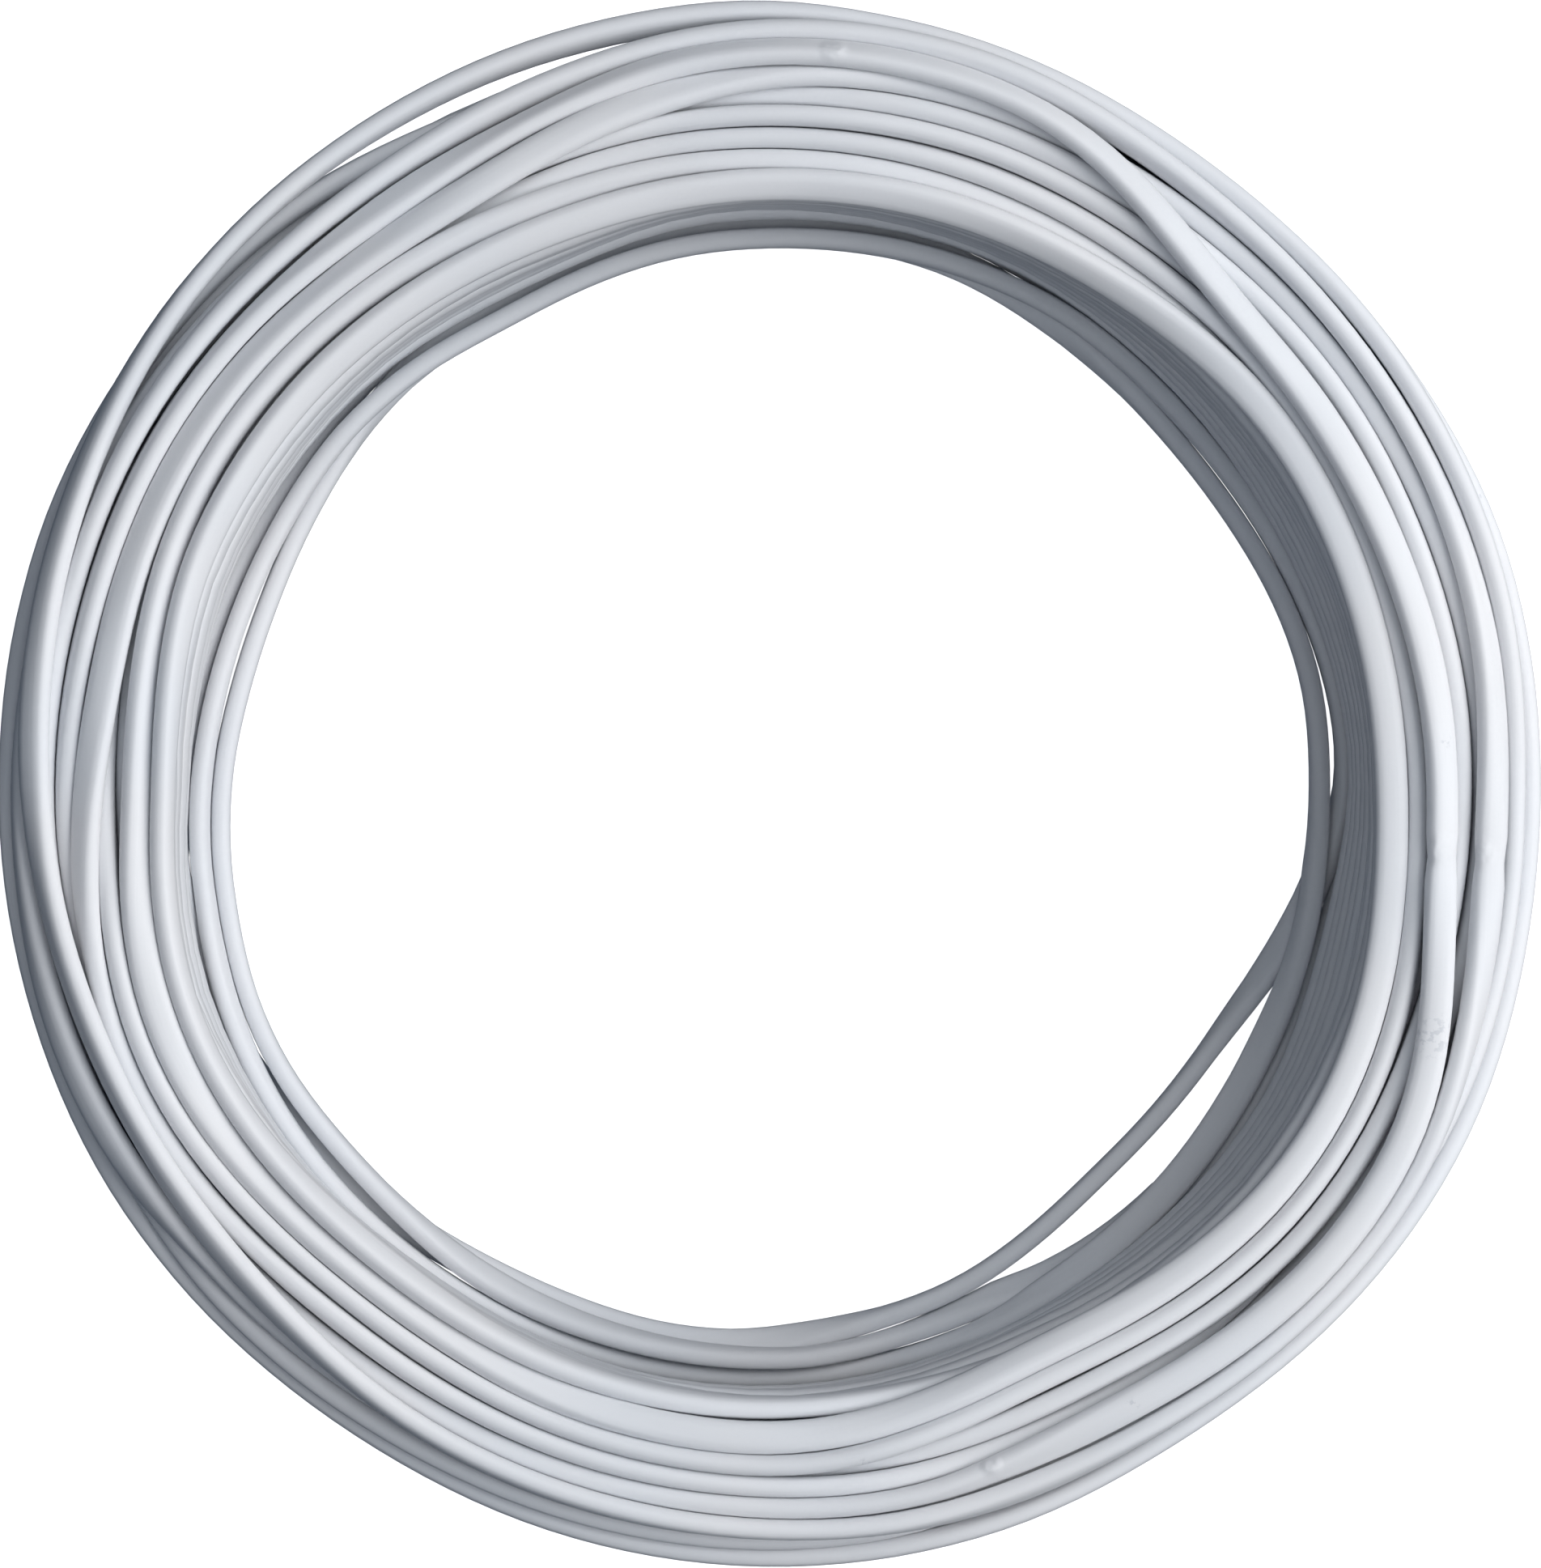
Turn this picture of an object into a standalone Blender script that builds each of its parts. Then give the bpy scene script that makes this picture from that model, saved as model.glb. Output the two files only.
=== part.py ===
# Coil of flat two-core electrical cable, lying flat: one turned ring with its bore.
# Metres, +Z up. The origin is on the floor, on the ring's axis.
import math

import bmesh
import bpy

# The cable as it lies in the coil
turn_pitch = 0.0058        # from one turn to the next, along the coil's skin
groove_depth = 0.0016      # depth of the joint between two turns
crown_width = 0.0034       # flat top of a turn, between its rounded sides
crown_drop = 0.00015       # how far a turn lies back from the coil's outline

# The coil's section: a barrel, with a skirt of turns that have slid into the bore near the floor
coil_height = 0.062
outside_diameter = 0.294   # over the belly
belly_height = 0.026       # where the coil is widest
bore_diameter = 0.208      # inside the skirt
skirt_reach = 0.0065       # how far the skirt stands out from the bore's wall
skirt_height = 0.008       # where the bore is narrowest
wall_height = 0.022        # where the skirt ends and the bore's wall is upright
top_lean = 0.0058          # how far the middle of the top lies towards the bore
foot_lean = 0.0020         # how far the middle of the foot lies towards the bore
settling = 0.0006          # how far the end turns are pressed flat

# How square the section's corners are: 2 is an ellipse, more is squarer
outer_squareness = 2.7
inner_squareness = 3.2

facets_around = 48
outline_steps = 240        # points that a quarter of the outline is measured with

sheath_colour = (0.80, 0.81, 0.83, 1.0)
sheath_roughness = 0.36


def remove_everything():
    for thing in list(bpy.data.objects):
        bpy.data.objects.remove(thing, do_unlink=True)


def white_sheath():
    material = bpy.data.materials.new("white_sheath")
    material.use_nodes = True
    shader = material.node_tree.nodes["Principled BSDF"]
    shader.inputs["Base Color"].default_value = sheath_colour
    shader.inputs["Roughness"].default_value = sheath_roughness
    shader.inputs["Metallic"].default_value = 0.0
    return material


def quarter_outline(side, end, squareness):
    """A quarter of a superellipse, from the section's side to its top or foot, as (radius, height)."""
    points = []
    for step in range(outline_steps + 1):
        angle = 0.5 * math.pi * step / outline_steps
        across = abs(math.cos(angle)) ** (2.0 / squareness)
        along = abs(math.sin(angle)) ** (2.0 / squareness)
        radius = end[0] + (side[0] - end[0]) * across
        height = side[1] + (end[1] - side[1]) * along
        points.append((radius, height))
    return points


def distances_along(points):
    distances = [0.0]
    for before, after in zip(points, points[1:]):
        distances.append(distances[-1] + math.dist(before, after))
    return distances


def sunk_point(points, distances, distance, depth):
    """The point at a distance along an outline that runs anticlockwise, moved inwards by depth."""
    index = 1
    while index < len(points) - 1 and distances[index] < distance:
        index += 1
    before = points[index - 1]
    after = points[index]
    span = distances[index] - distances[index - 1]
    share = (distance - distances[index - 1]) / span
    outward = ((after[1] - before[1]) / span, (before[0] - after[0]) / span)
    radius = before[0] + (after[0] - before[0]) * share - outward[0] * depth
    height = before[1] + (after[1] - before[1]) * share - outward[1] * depth
    return radius, height


def turns_along(points):
    """A stretch of the outline with a whole number of turns on it; each end is the middle of a turn."""
    distances = distances_along(points)
    turns = max(2, round(distances[-1] / turn_pitch))
    pitch = distances[-1] / turns
    crown = 0.5 * min(crown_width, 0.8 * pitch)
    profile = []
    for turn in range(turns):
        middle = turn * pitch
        profile.append(sunk_point(points, distances, middle + crown, crown_drop))
        profile.append(sunk_point(points, distances, middle + 0.5 * pitch, groove_depth))
        profile.append(sunk_point(points, distances, middle + pitch - crown, crown_drop))
    return profile


def coil_profile():
    """The section of the coil: turns all the way round it, pressed flat on the floor and on top."""
    outer_radius = 0.5 * outside_diameter
    skirt_radius = 0.5 * bore_diameter
    wall_radius = skirt_radius + skirt_reach
    middle_radius = 0.5 * (wall_radius + outer_radius)
    belly = (outer_radius, belly_height)
    wall = (wall_radius, wall_height)
    skirt = (skirt_radius, skirt_height)
    top = (middle_radius - top_lean, coil_height + settling)
    foot = (middle_radius - foot_lean, -settling)
    stretches = [
        quarter_outline(belly, top, outer_squareness),
        quarter_outline(wall, top, inner_squareness)[::-1],
        [wall, skirt],
        quarter_outline(skirt, foot, inner_squareness),
        quarter_outline(belly, foot, outer_squareness)[::-1],
    ]
    profile = []
    for stretch in stretches:
        profile.extend(turns_along(stretch))
    return [(radius, min(max(height, 0.0), coil_height)) for radius, height in profile]


def wire_coil():
    shape = bmesh.new()
    corners = [shape.verts.new((radius, 0.0, height)) for radius, height in coil_profile()]
    edges = [shape.edges.new((corners[index - 1], corners[index])) for index in range(len(corners))]
    bmesh.ops.spin(shape, geom=corners + edges, cent=(0.0, 0.0, 0.0), axis=(0.0, 0.0, 1.0),
                   angle=2.0 * math.pi, steps=facets_around, use_merge=True)
    bmesh.ops.recalc_face_normals(shape, faces=shape.faces[:])
    mesh = bpy.data.meshes.new("wire_coil")
    shape.to_mesh(mesh)
    shape.free()
    mesh.shade_smooth()
    mesh.set_sharp_from_angle(angle=math.radians(35.0))
    mesh.materials.append(white_sheath())
    coil = bpy.data.objects.new("wire_coil", mesh)
    bpy.context.scene.collection.objects.link(coil)
    return coil


remove_everything()
wire_coil()
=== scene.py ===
import math

import bmesh
import bpy
import numpy as np
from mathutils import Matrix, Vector


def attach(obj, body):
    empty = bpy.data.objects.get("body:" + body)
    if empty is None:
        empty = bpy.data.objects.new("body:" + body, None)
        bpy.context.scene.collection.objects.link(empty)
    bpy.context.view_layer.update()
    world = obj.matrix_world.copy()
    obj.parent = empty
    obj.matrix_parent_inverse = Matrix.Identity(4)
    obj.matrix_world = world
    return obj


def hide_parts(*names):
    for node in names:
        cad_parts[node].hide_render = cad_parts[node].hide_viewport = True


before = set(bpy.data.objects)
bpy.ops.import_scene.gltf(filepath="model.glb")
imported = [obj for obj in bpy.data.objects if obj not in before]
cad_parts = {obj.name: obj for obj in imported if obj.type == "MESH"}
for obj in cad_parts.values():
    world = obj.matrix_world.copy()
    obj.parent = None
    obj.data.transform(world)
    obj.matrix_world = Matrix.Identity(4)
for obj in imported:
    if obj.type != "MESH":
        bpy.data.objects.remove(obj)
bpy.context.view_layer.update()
mm = 0.001

# The cable, a flat two-core one. It is wound with its flat sides against each other, so most turns stand
# on edge.
cable = {
    "width": 6.1,           # mm, over both cores
    "thickness": 3.9,       # mm, over one core
    "length": 50.0,         # metres, the length such a ring is sold in
    "sides": 14,            # faces round the sheath
    "corners": 2.8,         # 2 for an ellipse, more for squarer corners
    "pinched": 0.88,        # share of its width and thickness that is left at a pinch
}
coreOffset = (cable["width"] - cable["thickness"]) / 2  # from the cable's middle to the middle of a core

# How the turns are laid out, in the order in which the cable runs: core, bottom row, outer wall, shoulder,
# top, bore's wall and foot of the bore. Lengths are in mm, to the cable's middle unless a note says more.
winding = {
    "stations": 180,        # places worked out in each turn
    "coreTurns": 25.7,      # hidden inside the ring
    "coreRows": 5,
    "coreFromBore": 6.5,    # from the bore's wall to the first turn of a row
    "coreFromBelly": 8.0,   # from the outer wall to its last turn
    "coreTop": 45.0,        # height of the core's top row
    "coreStep": 8.1,        # from each row down to the next
    "bottomTurns": 6.5,
    "bottomStep": 4.15,     # from turn to turn
    "footHeight": 3.2,      # of a turn that stands on the floor
    "outerTurns": 7.36,
    "outerLow": 5,          # height of the lowest turn of the outer wall
    "outerClimb": 41,       # from it to the highest
    "footTuck": 6.0,        # how far the outer wall draws in at its foot
    "shoulderTuck": 5.6,    # and at its shoulder
    "topPlane": 61.0,       # the upper faces of the top turns
    "hiddenRise": -9.0,     # below topPlane, where a turn is out of sight
    "innerTurns": 7.75,
    "innerHigh": 53.2,      # height of the highest turn of the bore's wall
    "innerDrop": 44.2,      # from it to the lowest
}

# How the turns settle against each other
settling = {
    "rounds": 300,          # of pushing apart and springing back
    "lastRounds": 90,       # of pushing apart alone
    "push": 0.6,            # share of an overlap that a round undoes
    "lastPush": 0.9,
    "searchEvery": 15,      # rounds from one search for near turns to the next
    "reach": 8.5,           # mm, turns nearer than this are tested against each other
    "seamBlur": 27,         # degrees, over which one stretch runs into the next
}

# Edges of the ring, looking down on it: (degrees from +X, radius in mm). innerRim is the top of the bore's
# wall and innerFoot its foot. floorTurn is the inner edge of the bottom row.
innerRim = [
    (0, 112.2), (20, 111.9), (45, 111.2), (60, 109.7), (90, 109.3), (110, 107.5), (130, 109.7),
    (160, 111.2), (180, 109.3), (200, 113.0), (230, 109.7), (270, 113.1), (295, 112.5), (320, 116.1),
    (340, 115.7), (355, 113.1),
]
innerFoot = [
    (0, 111.8), (20, 109.6), (30, 108.5), (50, 108.9), (65, 110.3), (98, 110.3), (112, 107.2),
    (122, 107.4), (130, 108.8), (160, 111.0), (170, 110.5), (180, 111.6), (190, 113.6), (200, 114.8),
    (220, 116.3), (235, 114.2), (255, 116.1), (265, 116.0), (280, 115.0), (290, 113.2), (300, 112.0),
    (330, 111.8), (342, 109.4), (352, 109.6),
]
floorTurn = [
    (0, 114.0), (6, 113.8), (12, 112.6), (20, 110.9), (30, 109.4), (55, 108.9), (66, 109.1), (73, 111.0),
    (98, 111.8), (106, 110.4), (118, 108.8), (132, 107.9), (142, 107.6), (150, 108.0), (160, 109.0),
    (170, 110.2), (180, 111.3), (186, 112.2), (190, 113.8), (200, 119.0), (214, 119.2), (224, 117.6),
    (240, 117.0), (255, 117.0), (275, 116.6), (290, 114.6), (300, 113.8), (312, 113.0), (320, 111.2),
    (330, 110.0), (336, 109.3), (341, 107.8), (346, 107.6), (351, 109.3), (358, 114.0),
]
outerBelly = [
    (0, 144.3), (20, 145.0), (50, 142.6), (75, 143.4), (96, 139.8), (122, 139.8), (150, 143.2),
    (168, 143.2), (185, 144.2), (205, 143.7), (218, 142.2), (232, 142.3), (245, 143.1), (260, 143.7),
    (285, 145.4), (300, 144.0), (325, 145.6), (350, 144.0),
]

# The last turns round the outside, under the edge of the top: (degrees, radius in mm, how flat, height of
# the middle in mm). Degrees only grow along the cable, here and below.
shoulderTurns = [
    (49, 138.2, 0, 45), (65, 138.8, 0, 46), (80, 139.2, 0, 46.5), (90, 138.2, 0, 46.5),
    (100, 136.2, 0, 46.5), (110, 135.4, 0, 46.5), (118, 136.2, 0, 47), (125, 138.4, 0, 47.5),
    (135, 140.3, 0, 48), (150, 141.0, 0, 49), (160, 141.3, 0, 50), (170, 140.5, 0, 50),
    (187, 141.0, 0, 49.5), (210, 141.5, 0, 48), (220, 140.8, 0, 47), (230, 140.1, 0, 46.5),
    (240, 140.1, 0, 46.5), (250, 141.3, 0, 47.5), (260, 141.9, 0, 48.5), (270, 142.2, 0, 49),
    (290, 142.1, 0, 50), (300, 140.8, 0, 50), (308, 141.2, 0, 50.5), (318, 142.4, 0, 50.5),
    (330, 142.9, 0, 50.5), (340, 142.2, 0, 50.5), (350, 140.9, 0, 50.5), (360, 140.7, 0, 51),
    (370, 141.1, 0, 51), (380, 141.6, 0, 51.5), (390, 140.2, 0, 51.5), (400, 139.8, 0, 51),
    (410, 139.0, 0, 50), (430, 138.0, 0, 47), (450, 133.5, 0, 44), (465, 131.0, 0, 43),
    (480, 131.0, 0, 43), (510, 134.5, 0, 46), (540, 136.8, 0, 50), (580, 138.0, 0, 51),
    (590, 138.3, 0, 51), (600, 137.9, 0, 51.5), (610, 138.7, 0, 52), (620, 139.3, 0, 52),
    (630, 139.6, 0, 52), (640, 139.3, 0, 51.5), (650, 137.0, 0, 48), (670, 134.0, 0, 46.5),
    (690, 133.0, 0, 46.5), (720, 131.5, 0, 47), (780, 129.5, 0, 48.5), (830, 129.5, 0, 49),
    (850, 133.0, 0, 50), (870, 138.0, 0, 50.5),
]

# The top turns, in the order in which the cable runs. Each place is (degrees, radius in mm, how flat the
# turn lies, how far its upper face is above topPlane in mm). A flat of 0 is on edge, 1 is level and -1 too;
# between these a turn leans, inwards from 0 to 1 and outwards from 0 to -1.
topTurns = {
    "outermost": [
        (150, 138.3, 0, -7.5), (165, 138.5, -0.1, -6), (175, 138.4, -0.2, -4.5),
        (184, 138.4, -0.4, -3.5), (190, 138.6, -0.5, -2.7), (195, 138.6, -0.8, -2.2),
        (200, 138.7, -0.8, -2.2), (205, 138.2, -0.9, -2.3), (210, 137.5, -0.9, -2.7),
        (215, 136.6, -0.7, -3.5), (220, 135.6, -0.5, -5), (225, 134.8, -0.3, -6.5),
        (230, 134.2, -0.1, -8), (240, 133.4, 0, -9), (270, 133.6, 0, -10), (300, 136.0, 0, -10.5),
        (318, 137.8, 0, -8), (330, 139, -0.1, -4.5), (340, 138.8, -0.1, -2), (360, 137.1, 0, -2.5),
        (370, 138.4, -0.1, -1.5), (380, 138.9, 0, -1), (390, 139.2, -0.2, -0.8), (400, 138.8, 0, -0.8),
        (410, 137.8, 0, -1), (420, 138.6, 0, -2), (430, 140.0, 0, -3), (440, 140.9, 0, -3.5),
        (450, 143.1, 0.1, -3.5), (460, 142.5, 0.5, -4), (470, 142.6, 0.3, -4.5), (480, 142.1, 0.2, -4.5),
        (490, 141.9, 0, -4), (500, 141.2, -0.2, -3), (510, 139.6, -0.5, -1.5), (530, 136.3, -0.8, 1.5),
        (540, 135, -0.9, 2.5), (550, 133.5, -0.4, 3), (560, 132.2, -0.5, 3), (570, 131.4, -0.4, 3),
        (580, 131.2, -0.6, 2.5), (590, 131.6, -0.3, 1.5), (600, 133, 0, 0.5), (620, 134.5, -0.1, 0),
        (630, 135.7, 0, -0.5), (640, 137.5, -0.1, -0.5), (650, 137.3, -0.5, -0.5),
        (660, 136.8, -0.2, -0.3), (670, 138, 0, -0.3), (680, 139, 0, -0.5), (690, 139.2, 0, -0.3),
        (695, 138.4, -0.3, 0), (700, 136.6, -0.4, 0.5), (710, 133.8, -1, 1.2), (715, 132.7, -1, 1.2),
        (720, 132.8, -0.9, 1), (730, 134.1, -0.7, 0.5), (740, 134.9, -0.5, 0), (750, 134.7, -0.2, 0),
        (762, 134.4, 0, 0), (770, 134.3, 0.3, 0), (780, 135.8, 0.3, 0.5), (790, 138.4, 0.3, 0.5),
        (800, 139.1, 0.3, -0.5), (810, 138.9, 0.3, -1), (820, 137.4, 0.3, -1.5), (825, 135.9, 0.4, -1.5),
        (830, 135.1, 0.5, -1.5), (840, 133.3, 0.3, -1), (850, 133, 0.1, -0.5), (860, 133.6, 0, -0.2),
        (870, 134.2, -0.2, 0), (890, 134.2, -0.2, -1.5), (900, 134.1, -0.3, -2.5),
        (920, 133.4, -0.1, -3), (940, 132.2, -0.1, -3), (950, 131.5, -0.1, -2.5),
        (970, 132.3, -0.1, -0.7), (980, 132.7, -0.1, -0.3), (990, 132.5, 0, 0), (1000, 133.2, -0.2, 0),
        (1005, 132.4, -0.3, 0.5), (1010, 131.4, -0.7, 1), (1015, 130.9, -1, 1.5), (1020, 130.9, -1, 2),
        (1030, 132.8, -1, 2.5), (1040, 134.3, -1, 3), (1050, 134, -1, 3), (1055, 132.6, -1, 3),
        (1060, 129.9, -1, 3.2), (1065, 126.8, -1, 3.2), (1070, 124.6, -1, 3.2), (1075, 123.7, -0.9, 3.2),
        (1080, 123.6, -0.8, 3), (1090, 123.1, -1, 3), (1100, 122.2, -0.9, 3), (1110, 121.9, -1, 3),
        (1120, 121.9, -0.9, 3), (1125, 121.9, -0.7, 3), (1130, 123.5, -0.9, 3.2),
        (1135, 126.3, -0.8, 3.2), (1140, 130, -0.8, 3), (1145, 132.7, -0.5, 2.5), (1150, 134.6, -0.4, 2),
        (1155, 135.6, -0.7, 1.5), (1160, 136.1, -0.7, 1.2), (1170, 136, -0.6, 1), (1175, 135.2, -0.7, 1),
        (1180, 133.6, -0.7, 1), (1185, 131.7, -0.6, 1), (1190, 130, -0.3, 0.7), (1195, 128.7, -0.7, 0.5),
        (1200, 128, -0.9, 0.3), (1205, 127.6, -0.9, 0), (1210, 127.8, -0.5, 0), (1220, 128.8, -0.3, 0),
        (1230, 129.4, -0.3, 0), (1240, 129.3, -0.3, 0), (1250, 129.3, -0.4, 0), (1260, 130.2, -0.3, -1),
        (1265, 130.3, -0.1, -2), (1270, 130.3, -0.1, -4), (1278, 130, -0.1, -6.5),
        (1290, 129.1, 0, -8.5),
    ],
    "second": [
        (270, 130.4, 0, -9), (340, 132, 0, -6), (350, 131.8, 0, -4), (367, 131.5, -0.1, -2.5),
        (380, 131.4, 0, -2), (405, 131.4, 0, -2), (420, 131, 0, -1.5), (430, 131.5, 0, -1),
        (440, 131.5, -0.1, 0), (450, 130.7, -0.5, 0.8), (455, 129.5, -0.9, 1.5), (465, 125.9, -1, 2),
        (475, 122.4, -1, 1.8), (480, 121.7, -1, 1.3), (490, 122.3, -0.7, 0.5), (500, 123.7, -0.8, 0),
        (510, 124.2, -0.9, 0), (520, 124.1, -0.9, 0), (530, 123.6, -1, 0.3), (535, 124.1, -1, 0.5),
        (545, 126.7, -0.7, 0.3), (550, 128.2, -0.7, 0), (555, 128.7, -0.1, -0.5), (560, 129.2, 0, -1),
        (570, 129.3, 0, -1.2), (590, 126.1, -0.2, 0), (600, 126.9, -0.2, 0), (610, 128.1, -0.2, 0),
        (620, 128.3, 0, 0), (630, 129.4, 0, -0.5), (640, 129.5, 0, -1.2), (650, 129, 0, -2.5),
        (660, 129.1, 0, -4), (668, 130, 0, -5.5), (675, 130.2, 0, -7), (685, 129.7, 0, -9),
    ],
    "third": [
        (60, 125.9, 0, -9), (140, 122.9, 0, -9), (160, 122, 0, -8), (168, 121.9, 0, -6),
        (185, 122.5, 0, -1.8), (190, 123.6, 0, -0.8), (200, 125.5, 0, 0), (205, 125.6, 0, 0),
        (210, 125.3, -0.1, 0), (220, 123.3, -0.2, 0), (230, 121.9, -0.1, 0), (240, 122.5, -0.3, 0),
        (250, 123.9, -0.1, 0), (270, 125.6, 0, 0), (275, 125.7, -0.2, 0), (280, 124.5, -0.3, 0.3),
        (290, 121.1, -0.1, 0), (295, 120.2, -0.3, 0), (300, 120.5, -0.1, 0), (310, 122.7, -0.2, 0),
        (320, 124.3, -0.2, 0), (330, 124.4, -0.1, 0), (340, 123.2, -0.3, 0), (345, 122, -0.3, -0.2),
        (350, 120.4, -0.1, -0.5), (355, 119.6, 0, -1), (370, 118.9, -0.1, -1), (390, 118.8, 0, -1.8),
        (405, 118.9, -0.1, -1), (410, 118.8, -0.3, -0.5), (430, 119.8, -0.5, 0), (460, 120, -0.1, -0.3),
        (470, 119.7, 0, -1.5), (480, 119.7, 0, -5), (497, 120.5, -0.1, -9),
    ],
    "fourth": [
        (200, 125.9, 0, -9), (255, 127, 0, -8), (270, 126.6, 0, -5), (280, 126.6, 0, -2),
        (285, 126, 0, -1), (290, 125.1, 0, -0.3), (300, 124.8, -0.2, 0), (310, 127, -0.2, 0),
        (320, 128.6, -0.1, -0.2), (330, 128.9, -0.3, -0.8), (335, 128.2, -0.1, -1), (345, 127.7, 0, -1),
        (355, 127.7, -0.1, -1), (370, 128.3, -0.2, -0.3), (380, 127.6, -0.3, 0), (390, 127.7, -0.1, 0),
        (400, 127.5, -0.1, 0), (405, 127.2, -0.1, -0.5), (415, 127.3, -0.2, -1), (420, 127.3, -0.2, -1),
        (430, 127.8, -0.1, -0.3), (440, 127.9, 0, 0), (450, 127.5, 0, -2), (458, 127.1, 0, -4),
        (475, 127.1, 0, -9),
    ],
    "fifth": [
        (220, 125.9, 0, -9), (330, 125.1, 0, -9), (385, 124.6, 0, -8), (405, 123.9, 0, -2),
        (415, 123.2, 0, -0.8), (430, 124, 0, 0), (450, 124, 0, 0), (460, 123.8, 0, -1),
        (468, 123.7, 0, -2.5), (482, 123.6, 0, -7), (490, 123.2, 0, -9),
    ],
    "innermost": [
        (220, 119.9, 0, -9), (330, 117.6, 0, -9), (385, 116.8, 0, -8.5), (405, 115.6, 0, -3),
        (410, 115.5, 0, -2), (420, 115.3, 0, -1), (450, 115.7, 0, -0.3), (460, 115.6, 0.3, 0),
        (470, 115.1, 0.6, 0), (480, 116.2, 0.5, 0), (490, 117.4, 0.3, 0), (500, 118.5, 0.3, 0),
        (510, 119.1, 0.3, 0), (520, 118.6, 0.4, 0), (530, 117, 0.5, 0), (540, 116.2, 0.7, 0),
        (545, 117, 0.7, 0), (550, 118.7, 0.9, 0), (560, 120.5, 1, 0), (570, 120.2, 0.9, 0),
        (580, 118.7, 0.5, 0), (590, 117.3, 0.5, 0), (600, 117.7, 0.5, 0), (610, 119.1, 0.8, 0),
        (620, 120, 1, 0), (630, 120.5, 1, 0), (640, 119.3, 0.9, 0), (650, 116.1, 0.7, 0),
        (655, 115.2, 0.7, 0), (660, 115.5, 0.9, 0), (680, 119.1, 1, 0), (690, 119.4, 1, 0),
        (700, 118.0, 1, 0), (710, 115.8, 1, 0), (715, 115.0, 1, 0), (720, 114.4, 1, 0),
        (730, 114.3, 1, 0), (740, 114.4, 1, 0), (750, 114.7, 1, 0), (760, 114.4, 1, 0),
        (770, 112.9, 0.9, 0), (780, 112.2, 0.8, 0), (795, 111.9, 0.9, 0), (810, 111.2, 0.9, 0),
        (820, 110.6, 0.9, 0), (830, 110.2, 0.9, 0), (840, 110.8, 0.8, -0.3), (860, 112.7, 0.7, -0.3),
        (870, 113.0, 0.7, 0), (880, 113.5, 0.6, 0), (890, 112, 0.4, 0), (900, 111.4, 0.2, 0),
        (910, 113.5, 0.3, -0.4), (920, 115.2, 0.3, -0.6), (930, 115, 0.3, -0.6), (950, 112.3, 0.6, 0),
        (960, 112.8, 0.4, -0.2), (970, 114.1, 0.2, -0.5), (990, 115.4, 0.2, -1.2),
        (1000, 114.7, 0, -2.2), (1010, 113.3, 0, -4),
    ],
}

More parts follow.
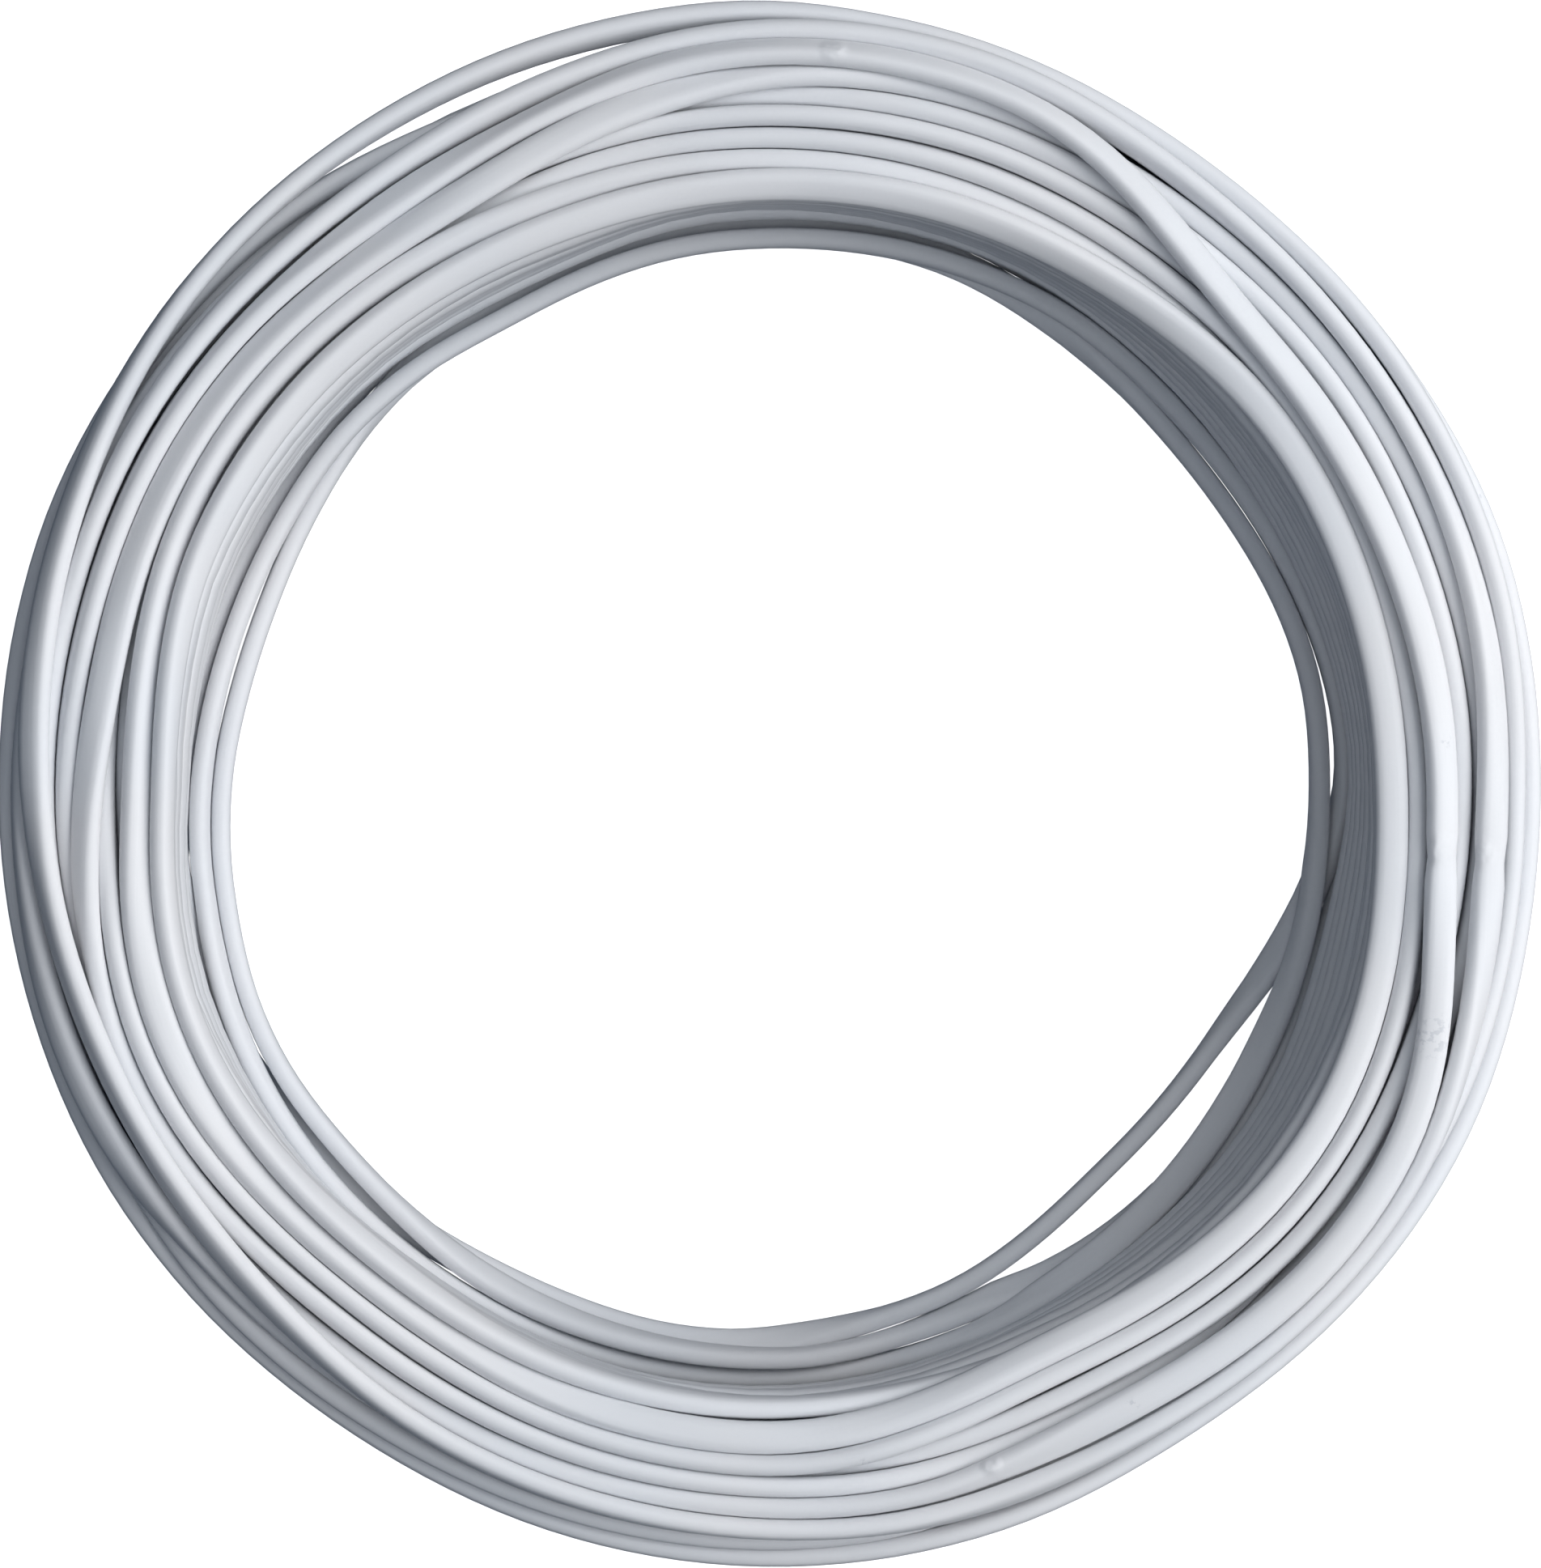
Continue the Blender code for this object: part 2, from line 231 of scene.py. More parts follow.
# The last turns, round the foot of the bore: (degrees, radius in mm, how flat, height of the middle in mm)
footTurns = [
    (196, 117.4, 0.1, 7.2), (203, 116.6, 0.6, 3.5), (209, 114.8, 1.0, 2.0), (216, 112.2, 1.0, 2.0),
    (224, 110.2, 1.0, 2.0), (232, 108.9, 1.0, 2.0), (240, 108.0, 1.0, 2.0), (250, 108.4, 1.0, 2.0),
    (258, 109.2, 1.0, 2.0), (266, 109.0, 1.0, 2.0), (271, 108.4, 0.9, 2.0), (276, 106.9, 0.6, 2.5),
    (281, 105.6, 0.1, 3.1), (290, 104.2, 0.0, 3.2), (300, 100.9, 0.0, 3.2), (310, 98.2, 0.0, 3.2),
    (320, 98.2, 0.0, 3.2), (330, 98.9, 0.1, 3.1), (335, 100.2, 0.4, 2.7), (340, 102.8, 0.7, 2.3),
    (345, 105.2, 0.9, 2.1), (350, 107.4, 0.9, 2.0), (354, 109.4, 0.7, 2.3), (359, 111.7, 0.0, 3.2),
    (366, 111.6, 0.0, 3.2), (370, 111.1, 0.0, 3.3), (375, 110.3, 0.1, 3.4), (380, 109.3, 0.1, 3.6),
    (385, 108.5, 0.1, 4.2), (390, 107.5, 0.1, 5.0), (400, 106.3, 0.1, 6.2), (410, 106.3, 0.1, 6.8),
    (420, 106.9, 0.0, 7.0), (435, 106.4, 0.1, 7.0), (450, 105.6, 0.0, 7.0), (460, 105.4, 0.0, 7.0),
    (470, 104.2, 0.0, 7.0), (480, 103.1, 0.0, 7.0), (490, 105.1, 0.0, 7.0), (500, 105.8, 0.1, 6.0),
    (510, 105.9, 0.1, 5.5), (520, 106.6, 0.0, 5.2), (530, 107.9, 0.1, 4.8), (540, 109.6, 0.3, 4.4),
    (550, 111.8, 0.2, 4.6), (560, 113.3, 0.2, 6.2), (567, 113.9, 0.1, 7.0), (580, 114.3, 0.0, 7.0),
    (592, 114.3, 0.0, 6.8), (602, 114.3, 0.0, 5.6), (612, 114.4, 0.0, 4.2), (620, 114.4, 0.0, 3.5),
    (630, 114.1, 0.0, 3.3), (640, 112.9, 0.1, 3.3), (650, 111.4, 0.1, 4.5), (656, 110.2, 0.7, 5.7),
    (662, 109.9, 1.0, 5.9), (672, 109.4, 1.0, 5.9), (681, 108.4, 1.0, 5.9), (690, 107.5, 1.0, 5.9),
    (696, 107.2, 0.7, 6.3), (702, 107.1, 0.2, 7.0), (710, 107.1, 0.2, 6.0), (718, 106.5, 0.0, 4.0),
    (724, 106.6, 0.0, 3.4), (730, 107.1, 0.0, 3.2), (740, 105.8, 0.0, 3.2), (750, 104.0, 0.0, 3.2),
    (760, 103.4, 0.0, 3.2), (770, 104.4, 0.2, 3.0), (780, 106.4, 0.8, 2.2), (790, 108.2, 1.0, 2.0),
    (815, 108.5, 1.0, 2.0), (840, 106.9, 1.0, 2.0), (851, 107.5, 0.8, 2.2), (858, 106.5, 0.3, 3.0),
    (864, 105.3, 0.0, 3.2), (871, 104.5, 0.0, 3.2), (880, 103.8, 0.0, 3.2), (890, 104.8, 0.0, 3.2),
    (900, 107.4, 0.0, 3.2), (910, 108.8, 0.1, 3.4), (920, 109.7, 0.1, 5.0), (930, 109.6, 0.1, 7.0),
    (940, 108.2, 0.1, 7.0), (950, 108.4, 0.2, 7.0), (957, 109.4, 0.6, 6.4), (963, 109.8, 0.7, 6.2),
    (970, 109.8, 0.4, 6.8), (980, 109.9, 0.3, 7.0), (991, 109.8, 0.3, 7.0), (1000, 109.6, 0.2, 5.2),
    (1008, 109.2, 0.3, 3.6), (1014, 109.6, 0.9, 2.2), (1022, 110.5, 1.0, 2.0), (1030, 110.6, 1.0, 2.0),
    (1035, 110.6, 1.0, 2.0),
]

# Marks on the sheath, where the cable was pinched, creased and rubbed: (x, y and z in mm, reach in mm)
pinches = [(123.0, -11.6, 64.0, 4.0), (130.7, -12.3, 62.9, 3.5)]
crumples = pinches + [(11.7, 135.5, 62.5, 3.2), (40.7, -124.6, 61.7, 2.6)]
rubs = [
    (121.5, -45.7, 64.1, 5.5), (124.1, 8.4, 63.3, 1.6), (17.4, -124.3, 61.6, 1.6),
    (-56.9, 92.0, 11.7, 1.8), (66.7, -113.3, 62.9, 1.6), (131.9, 53.9, 54.2, 1.0),
]


def aroundRing(places, degrees):  # an edge's radius at each of the degrees
    angles = np.array([place[0] for place in places], float)
    values = np.array([place[1] for place in places], float)
    return np.interp(degrees % 360, np.append(angles, angles[0] + 360), np.append(values, values[0]))


def blurred(values, degrees):  # a Gaussian blur along the cable
    spread = degrees * winding["stations"] / 360
    half = int(3 * spread) + 1
    weights = np.exp(-0.5 * (np.arange(-half, half + 1) / spread) ** 2)
    return np.convolve(np.pad(values, half, "edge"), weights / weights.sum(), "valid")


def wander(degrees, seed, size, waves=(1, 2, 3, 5)):  # a slow, uneven drift from turn to turn
    draw = np.random.RandomState(seed)
    drift = np.zeros(len(degrees))
    for wave in waves:
        strength = draw.uniform(-1, 1) / math.sqrt(wave)
        rate = wave + draw.uniform(-0.3, 0.3)
        drift += strength * np.sin(np.radians(degrees) * rate + draw.uniform(0, 2 * math.pi))
    return size * drift / math.sqrt(len(waves))


def degreesOf(turns, start):  # the places of the stations
    return start + np.arange(round(turns * winding["stations"])) * 360 / winding["stations"]


# One stretch of the cable. hold is how strongly it springs back to its radius, height and roll, yields how
# easily it gives way to another turn. A fine stretch is drawn with all its stations.
def leg(degrees, radius, height, roll, hold, yields, fine=False):
    def full(value):
        return np.broadcast_to(np.asarray(value, float), (len(degrees),)).copy()

    return {
        "degrees": degrees, "radius": full(radius), "height": full(height), "roll": full(roll),
        "holdRadius": full(hold[0]), "holdHeight": full(hold[1]), "holdRoll": full(hold[2]),
        "yields": full(yields), "fine": full(fine),
    }


def coreLeg(start):
    degrees = degreesOf(winding["coreTurns"], start)
    turns = (degrees - start) / 360
    perRow = winding["coreTurns"] / winding["coreRows"]
    row = np.floor(turns / perRow)
    column = turns - perRow * row
    column = np.where(row % 2 == 1, column, perRow - column)  # rows run inwards and outwards in turn
    bore = np.maximum(aroundRing(innerRim, degrees), aroundRing(innerFoot, degrees))
    inside = bore + winding["coreFromBore"]
    outside = aroundRing(outerBelly, degrees) - winding["coreFromBelly"]
    radius = blurred(inside + (outside - inside) * column / perRow, 12) + wander(degrees, 3, 1.0)
    height = blurred(winding["coreTop"] - winding["coreStep"] * row, 14) + wander(degrees, 4, 1.5)
    roll = np.radians(70 + wander(degrees, 5, 25))
    return leg(degrees, radius, height, roll, (0.02, 0.02, 0.01), 1.0)


def bottomLeg(start):
    degrees = degreesOf(winding["bottomTurns"], start)
    turns = (degrees - start) / 360
    crossing = ((turns % 1 - 0.93) / 0.07).clip(0, 1)  # at its end each turn crosses over to the next place
    inside = aroundRing(floorTurn, degrees) + cable["thickness"] / 2
    radius = blurred(inside, 5) + winding["bottomStep"] * (np.floor(turns) + crossing)
    roll = np.radians(90 + wander(degrees, 7, 8))
    hold = np.where(turns < 1, 0.25, 0.06)  # the first turn shows, the others are hidden
    yields = np.where(turns < 1, 0.4, 0.8)
    return leg(degrees, radius, winding["footHeight"], roll, (hold, 0.1, 0.03), yields)


def outerLeg(start):
    degrees = degreesOf(winding["outerTurns"], start)
    share = (degrees - start) / 360 / winding["outerTurns"]
    height = winding["outerLow"] + winding["outerClimb"] * share
    under = ((27 - height) / 27).clip(0) ** 2.2  # 1 on the floor, 0 from 27 mm up
    over = ((height - 24) / 30).clip(0) ** 2  # 0 up to 24 mm, 1 at 54 mm
    radius = blurred(aroundRing(outerBelly, degrees), 5) - cable["thickness"] / 2
    radius = radius - winding["footTuck"] * under - winding["shoulderTuck"] * over
    radius += wander(degrees, 11, 0.8, (1, 2, 4, 7))
    roll = np.radians(90 + 22 * (height - 28) / 28 + wander(degrees, 13, 12))
    return leg(degrees, radius, height + wander(degrees, 12, 1.3), roll, (0.06, 0.03, 0.03), 0.6)


def placesAlong(places, start):  # the places' values at each station, softened
    angles = np.array([place[0] for place in places], float)
    values = np.array([place[1:] for place in places], float)
    degrees = degreesOf((angles[-1] - start) / 360, start)
    columns = [blurred(np.interp(degrees, angles, values[:, k]), 4) for k in range(values.shape[1])]
    return degrees, columns


def topLeg():
    places = []
    for stretch in topTurns.values():
        laps = 0  # whole turns to add, so that the degrees go on growing
        while places and stretch[0][0] + 360 * laps <= places[-1][0]:
            laps += 1
        places += [(degrees + 360 * laps, radius, flat, rise) for degrees, radius, flat, rise in stretch]
    degrees, (radius, flat, rise) = placesAlong(places, places[0][0])
    roll = np.arccos(flat.clip(-1, 1))
    height = winding["topPlane"] + rise - halfHeight(roll)
    shown = (1 - rise / winding["hiddenRise"]).clip(0, 0.667) / 0.667  # 0 out of sight, 1 near the top
    hold = (0.03 + 0.27 * shown, 0.02 + 0.08 * shown, 0.02 + 0.2 * shown)
    return leg(degrees, radius, height, roll, hold, 1 - 0.75 * shown, True)


def shoulderLeg(start):
    degrees, (radius, flat, height) = placesAlong(shoulderTurns, start % 360)
    return leg(degrees, radius, height, np.arccos(flat.clip(0, 1)), (0.2, 0.08, 0.1), 0.5, True)


def innerLeg(start):
    degrees = degreesOf(winding["innerTurns"], start)
    share = (degrees - start) / 360 / winding["innerTurns"]
    height = winding["innerHigh"] - winding["innerDrop"] * share
    foot, rim = blurred(aroundRing(innerFoot, degrees), 4), aroundRing(innerRim, degrees)
    radius = foot + (rim - foot) * ((height - 9) / 49).clip(0, 1) + cable["thickness"] / 2
    radius += wander(degrees, 21, 0.5)
    height += wander(degrees, 22, 0.9) * np.minimum(1, 6 * np.minimum(share, 1 - share))
    return leg(degrees, radius, height, np.radians(90 + wander(degrees, 23, 14)), (0.1, 0.03, 0.03), 0.5)


def footLeg(start):
    degrees, (radius, flat, height) = placesAlong(footTurns, start % 360)
    return leg(degrees, radius, height, np.arccos(flat.clip(0, 1)), (0.25, 0.12, 0.2), 0.4, True)


def halfHeight(roll):  # how far the section reaches above its middle
    power = cable["corners"] / (cable["corners"] - 1)
    broad, narrow = cable["width"] / 2 * np.abs(np.sin(roll)), cable["thickness"] / 2 * np.abs(np.cos(roll))
    return (broad ** power + narrow ** power) ** (1 / power)


def nearPairs(radius, height):  # turns that lie near each other at the same place round the ring
    stations = winding["stations"]
    turns = -(-len(radius) // stations)
    grid = np.full((2, turns * stations), np.nan)
    grid[0, :len(radius)] = radius
    grid[1, :len(radius)] = height
    grid = grid.reshape(2, turns, stations)
    first, second = [], []
    for apart in range(1, turns):
        gap = grid[:, apart:] - grid[:, :-apart]
        with np.errstate(invalid="ignore"):
            turn, station = np.nonzero((gap ** 2).sum(axis=0) < settling["reach"] ** 2)
        first.append(turn * stations + station)
        second.append((turn + apart) * stations + station)
    return np.concatenate(first), np.concatenate(second)


def sharedOut(one, other, push, shareOne, count):  # one turn goes with the push, the other against it
    return np.bincount(one, push * shareOne, count) - np.bincount(other, push * (1 - shareOne), count)


def pushApart(radius, height, roll, yields, first, second, strength):
    count = len(radius)
    moves = np.zeros((3, count))
    armR, armZ = np.cos(roll) * coreOffset, np.sin(roll) * coreOffset
    worst = 0
    for one, other in ((first, second), (second, first)):
        shareOne = yields[one] / (yields[one] + yields[other])
        for side in (1, -1):  # each core of one turn against the whole flat section of the other
            leverR, leverZ = side * armR[one], side * armZ[one]
            gapR = radius[one] + leverR - radius[other]
            gapZ = height[one] + leverZ - height[other]
            along = ((gapR * armR[other] + gapZ * armZ[other]) / coreOffset ** 2).clip(-1, 1)
            gapR = gapR - along * armR[other]
            gapZ = gapZ - along * armZ[other]
            distance = np.hypot(gapR, gapZ) + 1e-9
            overlap = (cable["thickness"] - distance).clip(0)
            worst = max(worst, overlap.max())
            pushR = gapR * overlap * strength / 2 / distance
            pushZ = gapZ * overlap * strength / 2 / distance
            moves[0] += sharedOut(one, other, pushR, shareOne, count)
            moves[1] += sharedOut(one, other, pushZ, shareOne, count)
            turnOne = (leverR * pushZ - leverZ * pushR) * shareOne
            turnOther = along * (armZ[other] * pushR - armR[other] * pushZ) * (1 - shareOne)
            turned = np.bincount(one, turnOne, count) + np.bincount(other, turnOther, count)
            moves[2] += 0.5 * turned / (coreOffset ** 2 + 2)
    return moves, worst


def settleTurns(legs):
    laid = {key: np.concatenate([part[key] for part in legs]) for key in legs[0]}
    count = len(laid["radius"])
    seams = np.cumsum([len(part["degrees"]) for part in legs])[:-1]
    nearSeam = np.zeros(count)
    for seam in seams:
        away = (np.arange(count) - seam) * 360 / winding["stations"]
        nearSeam = np.maximum(nearSeam, np.exp(-0.5 * (away / settling["seamBlur"]) ** 2))
    for key in ("radius", "height", "roll"):
        laid[key] += nearSeam * (blurred(laid[key], settling["seamBlur"]) - laid[key])
    hold = [blurred(laid[key], 9) for key in ("holdRadius", "holdHeight", "holdRoll")]
    yields = blurred(laid["yields"], 9)
    aim = np.array([laid["radius"], laid["height"], laid["roll"]])
    offset = np.zeros((3, count))
    rounds, last = settling["rounds"], settling["lastRounds"]
    for step in range(rounds + last):
        radius, height, roll = aim + offset
        if step % settling["searchEvery"] == 0:
            first, second = nearPairs(radius, height)
        strength = settling["push"] if step < rounds else settling["lastPush"]
        moves, worst = pushApart(radius, height, roll, yields, first, second, strength)
        offset += moves
        offset[1] += (halfHeight(aim[2] + offset[2]) - aim[1] - offset[1]).clip(0)  # up from the floor
        for k in range(3):
            if step < rounds:
                spread = 10.5 if step < 0.6 * rounds else 7.5  # degrees, how stiff the cable is
                ease = 1 if step < 0.8 * rounds else 0.4  # towards the end the turns are held less
                offset[k] = (0.4 * offset[k] + 0.6 * blurred(offset[k], spread)) * (1 - hold[k] * ease)
            elif step % 4 == 0 and step < rounds + last - 8:  # a light smoothing, none in the last rounds
                offset[k] = (offset[k] + blurred(offset[k], 3.6)) / 2
    print(f"turns settled, {count} places, deepest overlap {worst:.2f} mm")
    return laid["degrees"], aim + offset, laid["fine"]


def windCable():
    top = topLeg()
    before = winding["coreTurns"] + winding["bottomTurns"] + winding["outerTurns"]
    start = shoulderTurns[0][0] - 360 * before
    legs = [coreLeg(start)]
    for make in (bottomLeg, outerLeg, shoulderLeg):
        legs.append(make(legs[-1]["degrees"][-1] + 360 / winding["stations"]))
    legs.append(top)
    for make in (innerLeg, footLeg):
        legs.append(make(legs[-1]["degrees"][-1] + 360 / winding["stations"]))
    return settleTurns(legs)


def sectionCorners():  # the section, an oval with full corners
    power = 2 / cable["corners"]
    corners = []
    for k in range(cable["sides"]):
        angle = 2 * math.pi * k / cable["sides"]
        across = math.copysign(abs(math.cos(angle)) ** power, math.cos(angle))
        up = math.copysign(abs(math.sin(angle)) ** power, math.sin(angle))
        corners.append((cable["width"] / 2 * across, cable["thickness"] / 2 * up))
    return corners


def sheathOutline():
    outline = bpy.data.curves.new("sheathOutline", "CURVE")
    outline.dimensions = "2D"
    spline = outline.splines.new("POLY")
    spline.points.add(cable["sides"] - 1)
    corners = [value for x, y in sectionCorners() for value in (x * mm, y * mm, 0, 1)]
    spline.points.foreach_set("co", corners)
    spline.use_cyclic_u = True
    holder = bpy.data.objects.new("sheathOutline", outline)
    bpy.context.collection.objects.link(holder)
    return holder


def sweepSheath(line, roll):  # the section, carried along the cable's middle line
    curve = bpy.data.curves.new("wireCable", "CURVE")
    curve.dimensions = "3D"
    curve.twist_mode = "Z_UP"
    spline = curve.splines.new("POLY")
    spline.points.add(len(line) - 1)
    spline.points.foreach_set("co", np.column_stack([line, np.ones(len(line))]).ravel())
    spline.points.foreach_set("tilt", -roll)
    for pinch in pinches:
        nearest = np.linalg.norm(line / mm - pinch[:3], axis=1).argmin()
        spline.points[int(nearest)].radius = cable["pinched"]
    curve.bevel_mode = "OBJECT"
    curve.bevel_object = sheathOutline()
    curve.use_fill_caps = True
    swept = bpy.data.objects.new("sweptCable", curve)
    bpy.context.collection.objects.link(swept)
    mesh = bpy.data.meshes.new_from_object(swept.evaluated_get(bpy.context.evaluated_depsgraph_get()))
    bpy.data.objects.remove(curve.bevel_object)
    bpy.data.objects.remove(swept)
    mesh.name = "wireCable"
    return mesh


def addSections(mesh, along):  # where each point lies in the sheath, for its material: mm across, up, along
    sides = cable["sides"]
    stations = np.concatenate([np.full(sides, along[-1]), np.zeros(sides), np.repeat(along, sides)])
    assert len(mesh.vertices) == len(stations)  # the caps' points come first
    corners = np.tile(sectionCorners(), (len(along) + 2, 1))
    places = np.column_stack([corners, stations / mm])
    mesh.attributes.new("section", "FLOAT_VECTOR", "POINT").data.foreach_set("vector", places.ravel())


def closeSheath(mesh):  # the caps are joined to the tube, and all faces point outwards
    form = bmesh.new()
    form.from_mesh(mesh)
    bmesh.ops.remove_doubles(form, verts=form.verts, dist=0.01 * mm)
    bmesh.ops.recalc_face_normals(form, faces=form.faces)
    form.to_mesh(mesh)
    form.free()
    for polygon in mesh.polygons:
        polygon.use_smooth = True


def makeCable():
    degrees, (radius, height, roll), fine = windCable()
    number = np.arange(len(fine))
    hidden = number < winding["coreTurns"] * winding["stations"]
    keep = (fine > 0.5) | (number % np.where(hidden, 3, 2) == 0)  # fewer stations where less shows
    keep[[0, -1]] = True
    degrees, radius, height, roll = degrees[keep], radius[keep], height[keep], roll[keep]
    angle = np.radians(degrees)
    line = np.stack([radius * np.cos(angle), radius * np.sin(angle), height], axis=1) * mm
    along = np.concatenate([[0], np.cumsum(np.linalg.norm(np.diff(line, axis=0), axis=1))])
    mesh = sweepSheath(line, roll)
    addSections(mesh, along)
    closeSheath(mesh)
    piece = bpy.data.objects.new("wireCable", mesh)
    bpy.context.collection.objects.link(piece)
    turns = len(fine) / winding["stations"]
    print(f"cable wound, {along[-1]:.2f} m in {turns:.1f} turns, {len(line)} stations")
    return piece, line


piece, line = makeCable()
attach(piece, "root")
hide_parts("wire_coil")

# White sheath
sheath = {
    "cool": (0.768, 0.782, 0.808),
    "warm": (0.790, 0.790, 0.803),
    "grime": (0.50, 0.52, 0.56),
    "rubGrime": 0.45,       # how much of the grime each mark takes
    "streakGrime": 0.10,
    "speckGrime": 0.10,
    "handledGrime": 0.05,
    "roughness": 0.5,
    "dullRoughness": 0.10,  # how much each mark adds to the roughness
    "streakRoughness": 0.15,
    "rubRoughness": 0.2,
    "pebbleRoughness": 0.06,
    "specular": 0.35,
    "pebble": 0.010,        # mm, how deep the sheath's fine texture is
    "drawnLines": 0.014,    # mm, the lines along it
    "crumple": 0.42,        # mm, how deep the creases are
}


class Signal:  # a socket of a node, so that shader maths is written as expressions
    def __init__(self, tree, socket=None):
        self.tree, self.socket = tree, socket

    def node(self, kind, settings, values, output=0):
        made = self.tree.nodes.new("ShaderNode" + kind)
        for name, value in settings.items():
            setattr(made, name, value)
        for name, value in values.items():
            if isinstance(value, Signal):
                self.tree.links.new(value.socket, made.inputs[name])
            else:
                made.inputs[name].default_value = value
        return Signal(self.tree, made.outputs[output])

    def maths(self, operation, *values):
        return self.node("Math", {"operation": operation}, dict(enumerate(values)))

    def __add__(self, other):
        return self.maths("ADD", self, other)

    def __sub__(self, other):
        return self.maths("SUBTRACT", self, other)

    def __rsub__(self, other):
        return self.maths("SUBTRACT", other, self)

    def __mul__(self, other):
        return self.maths("MULTIPLY", self, other)

    __radd__, __rmul__ = __add__, __mul__

    def noise(self, scale, detail=2.0, stretch=(1, 1, 1)):
        spread = self.node("VectorMath", {"operation": "MULTIPLY"}, {0: self, 1: stretch})
        return self.node("TexNoise", {}, {"Vector": spread, "Scale": scale, "Detail": detail})

    def between(self, low, high):
        limits = {"Value": self, "From Min": low, "From Max": high}
        return self.node("MapRange", {"interpolation_type": "SMOOTHSTEP"}, limits)

    def near(self, places):  # 1 at each of the places, 0 past its reach
        mask = None
        for x, y, z, reach in places:
            centre = (x * mm, y * mm, z * mm)
            away = self.node("VectorMath", {"operation": "DISTANCE"}, {0: self, 1: centre}, "Value")
            spot = away.between(reach * mm, 0.3 * reach * mm)
            mask = spot if mask is None else mask.maths("MAXIMUM", mask, spot)
        return mask

    def mixed(self, first, second):  # two colours, self is the share of the second
        values = {"Factor": self, 6: first, 7: second}
        return self.node("Mix", {"data_type": "RGBA"}, values, 2)


def makeSheath():
    material = bpy.data.materials.new("whiteSheath")
    material.use_nodes = True
    shader = material.node_tree.nodes["Principled BSDF"]
    shade = Signal(material.node_tree)
    place = shade.node("TexCoord", {}, {}, "Object")
    section = shade.node("Attribute", {"attribute_name": "section"}, {}, "Vector")

    # place is in metres and section in mm, so their noise has its scales per metre and per mm
    blotches = place.noise(16).between(0.35, 0.65)  # of the cooler and the warmer white
    specks = place.noise(1500, 1)
    pebbles = place.noise(850, 1)
    drawnLines = section.noise(1.5, 1, (1, 1, 0.03))
    handled = place.noise(24).between(0.50, 0.68)  # stretches that have been handled more
    streaks = section.noise(1.1, 3, (1, 1, 0.10)).between(0.58, 0.72) * handled
    creased = place.near(crumples)
    rubbed = place.near(rubs) * place.noise(900, 3).between(0.50, 0.60)
    dulled = place.noise(60).between(0.45, 0.75)

    clean = blotches.mixed((*sheath["cool"], 1), (*sheath["warm"], 1))
    dirt = sheath["rubGrime"] * rubbed + sheath["streakGrime"] * streaks
    dirt = dirt + sheath["speckGrime"] * (specks - 0.5) + sheath["handledGrime"] * handled
    colour = dirt.mixed(clean, (*sheath["grime"], 1))

    roughness = sheath["roughness"] + sheath["dullRoughness"] * (dulled - 0.5)
    roughness = roughness + sheath["streakRoughness"] * streaks + sheath["rubRoughness"] * rubbed
    roughness = roughness + sheath["pebbleRoughness"] * (pebbles - 0.5)

    relief = sheath["pebble"] * pebbles + sheath["drawnLines"] * drawnLines
    relief = relief + sheath["crumple"] * creased * place.noise(420, 1)
    bump = shade.node("Bump", {}, {"Height": relief, "Distance": mm, "Strength": 1.0}, "Normal")

    for name, signal in (("Base Color", colour), ("Roughness", roughness), ("Normal", bump)):
        material.node_tree.links.new(signal.socket, shader.inputs[name])
    shader.inputs["Specular IOR Level"].default_value = sheath["specular"]
    return material


piece.data.materials.append(makeSheath())
print("sheath made")

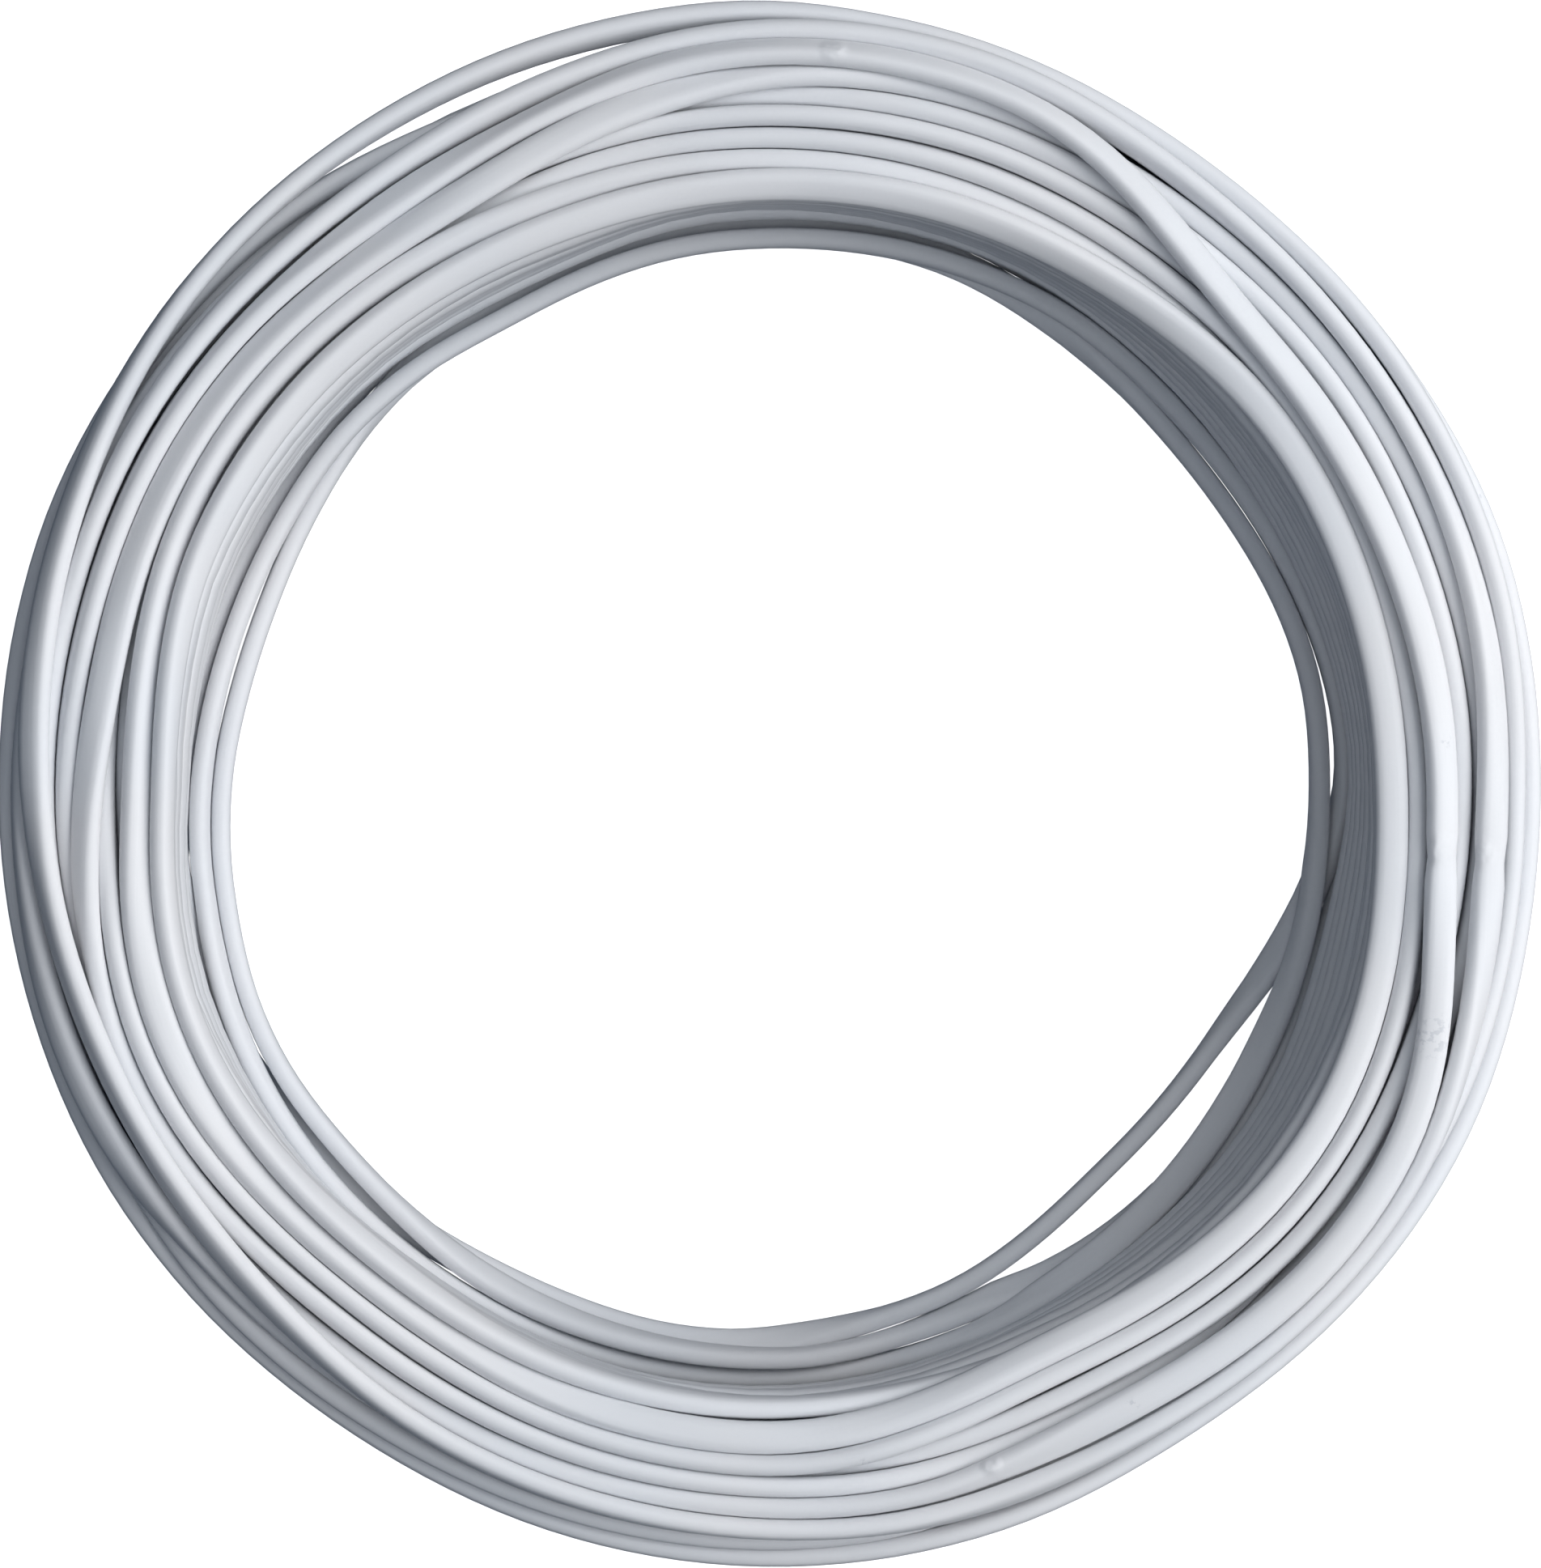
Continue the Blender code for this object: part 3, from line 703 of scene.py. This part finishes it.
# Floor, light and camera
studio = {
    "floorSize": 4.0,                   # metres, half a side
    "floorColour": (0.93, 0.935, 0.95),
    "floorRoughness": 0.9,
    "floorGlow": 0.95,                  # it shows nearly white, as in the photo
    "skyColour": (0.55, 0.72, 1.0),
    "skyStrength": 0.08,
    "cameraHeight": 1.162,              # metres
    "cameraAt": (0.00015, 0.0005),
    "focalPixels": 7400,                # focal length, in the photo's pixels
    "photoHeight": 1937,                # pixels
    "sensor": 36,                       # mm
}


def makeFloor():
    form = bmesh.new()
    bmesh.ops.create_grid(form, x_segments=1, y_segments=1, size=studio["floorSize"])
    mesh = bpy.data.meshes.new("floor")
    form.to_mesh(mesh)
    form.free()
    paint = bpy.data.materials.new("floorPaint")
    paint.use_nodes = True
    sockets = paint.node_tree.nodes["Principled BSDF"].inputs
    sockets["Base Color"].default_value = (*studio["floorColour"], 1)
    sockets["Roughness"].default_value = studio["floorRoughness"]
    sockets["Emission Color"].default_value = (1, 1, 1, 1)
    sockets["Emission Strength"].default_value = studio["floorGlow"]
    mesh.materials.append(paint)
    floor = bpy.data.objects.new("floor", mesh)
    bpy.context.collection.objects.link(floor)
    floor.visible_diffuse = False  # the white floor doesn't light the ring from below
    floor.visible_glossy = False
    return floor


floor = makeFloor()

scene = bpy.context.scene
scene.view_settings.view_transform = "Standard"
world = bpy.data.worlds.new("studio")
scene.world = world
world.use_nodes = True
sky = world.node_tree.nodes["Background"].inputs
sky["Color"].default_value = (*studio["skyColour"], 1)
sky["Strength"].default_value = studio["skyStrength"]


def softBox(name, place, size, power, colour):  # a light that faces the origin, in metres and watts
    light = bpy.data.lights.new(name, "AREA")
    light.shape = "RECTANGLE"
    light.size, light.size_y = size
    light.energy = power
    light.color = colour
    holder = bpy.data.objects.new(name, light)
    bpy.context.collection.objects.link(holder)
    holder.location = place
    holder.rotation_euler = (-Vector(place)).to_track_quat("-Z", "Y").to_euler()


softBox("keyLight", (1.36, 0.24, 1.20), (2.4, 2.0), 41, (1, 1, 1))
softBox("topLight", (0.25, -0.1, 2.0), (2.4, 2.4), 14, (0.9, 0.95, 1))

camera = bpy.data.cameras.new("camera")
camera.sensor_width = studio["sensor"]
camera.lens = studio["sensor"] * studio["focalPixels"] / studio["photoHeight"]
holder = bpy.data.objects.new("camera", camera)
bpy.context.collection.objects.link(holder)
holder.location = (*studio["cameraAt"], studio["cameraHeight"])
scene.camera = holder
print("floor, lights and camera set")
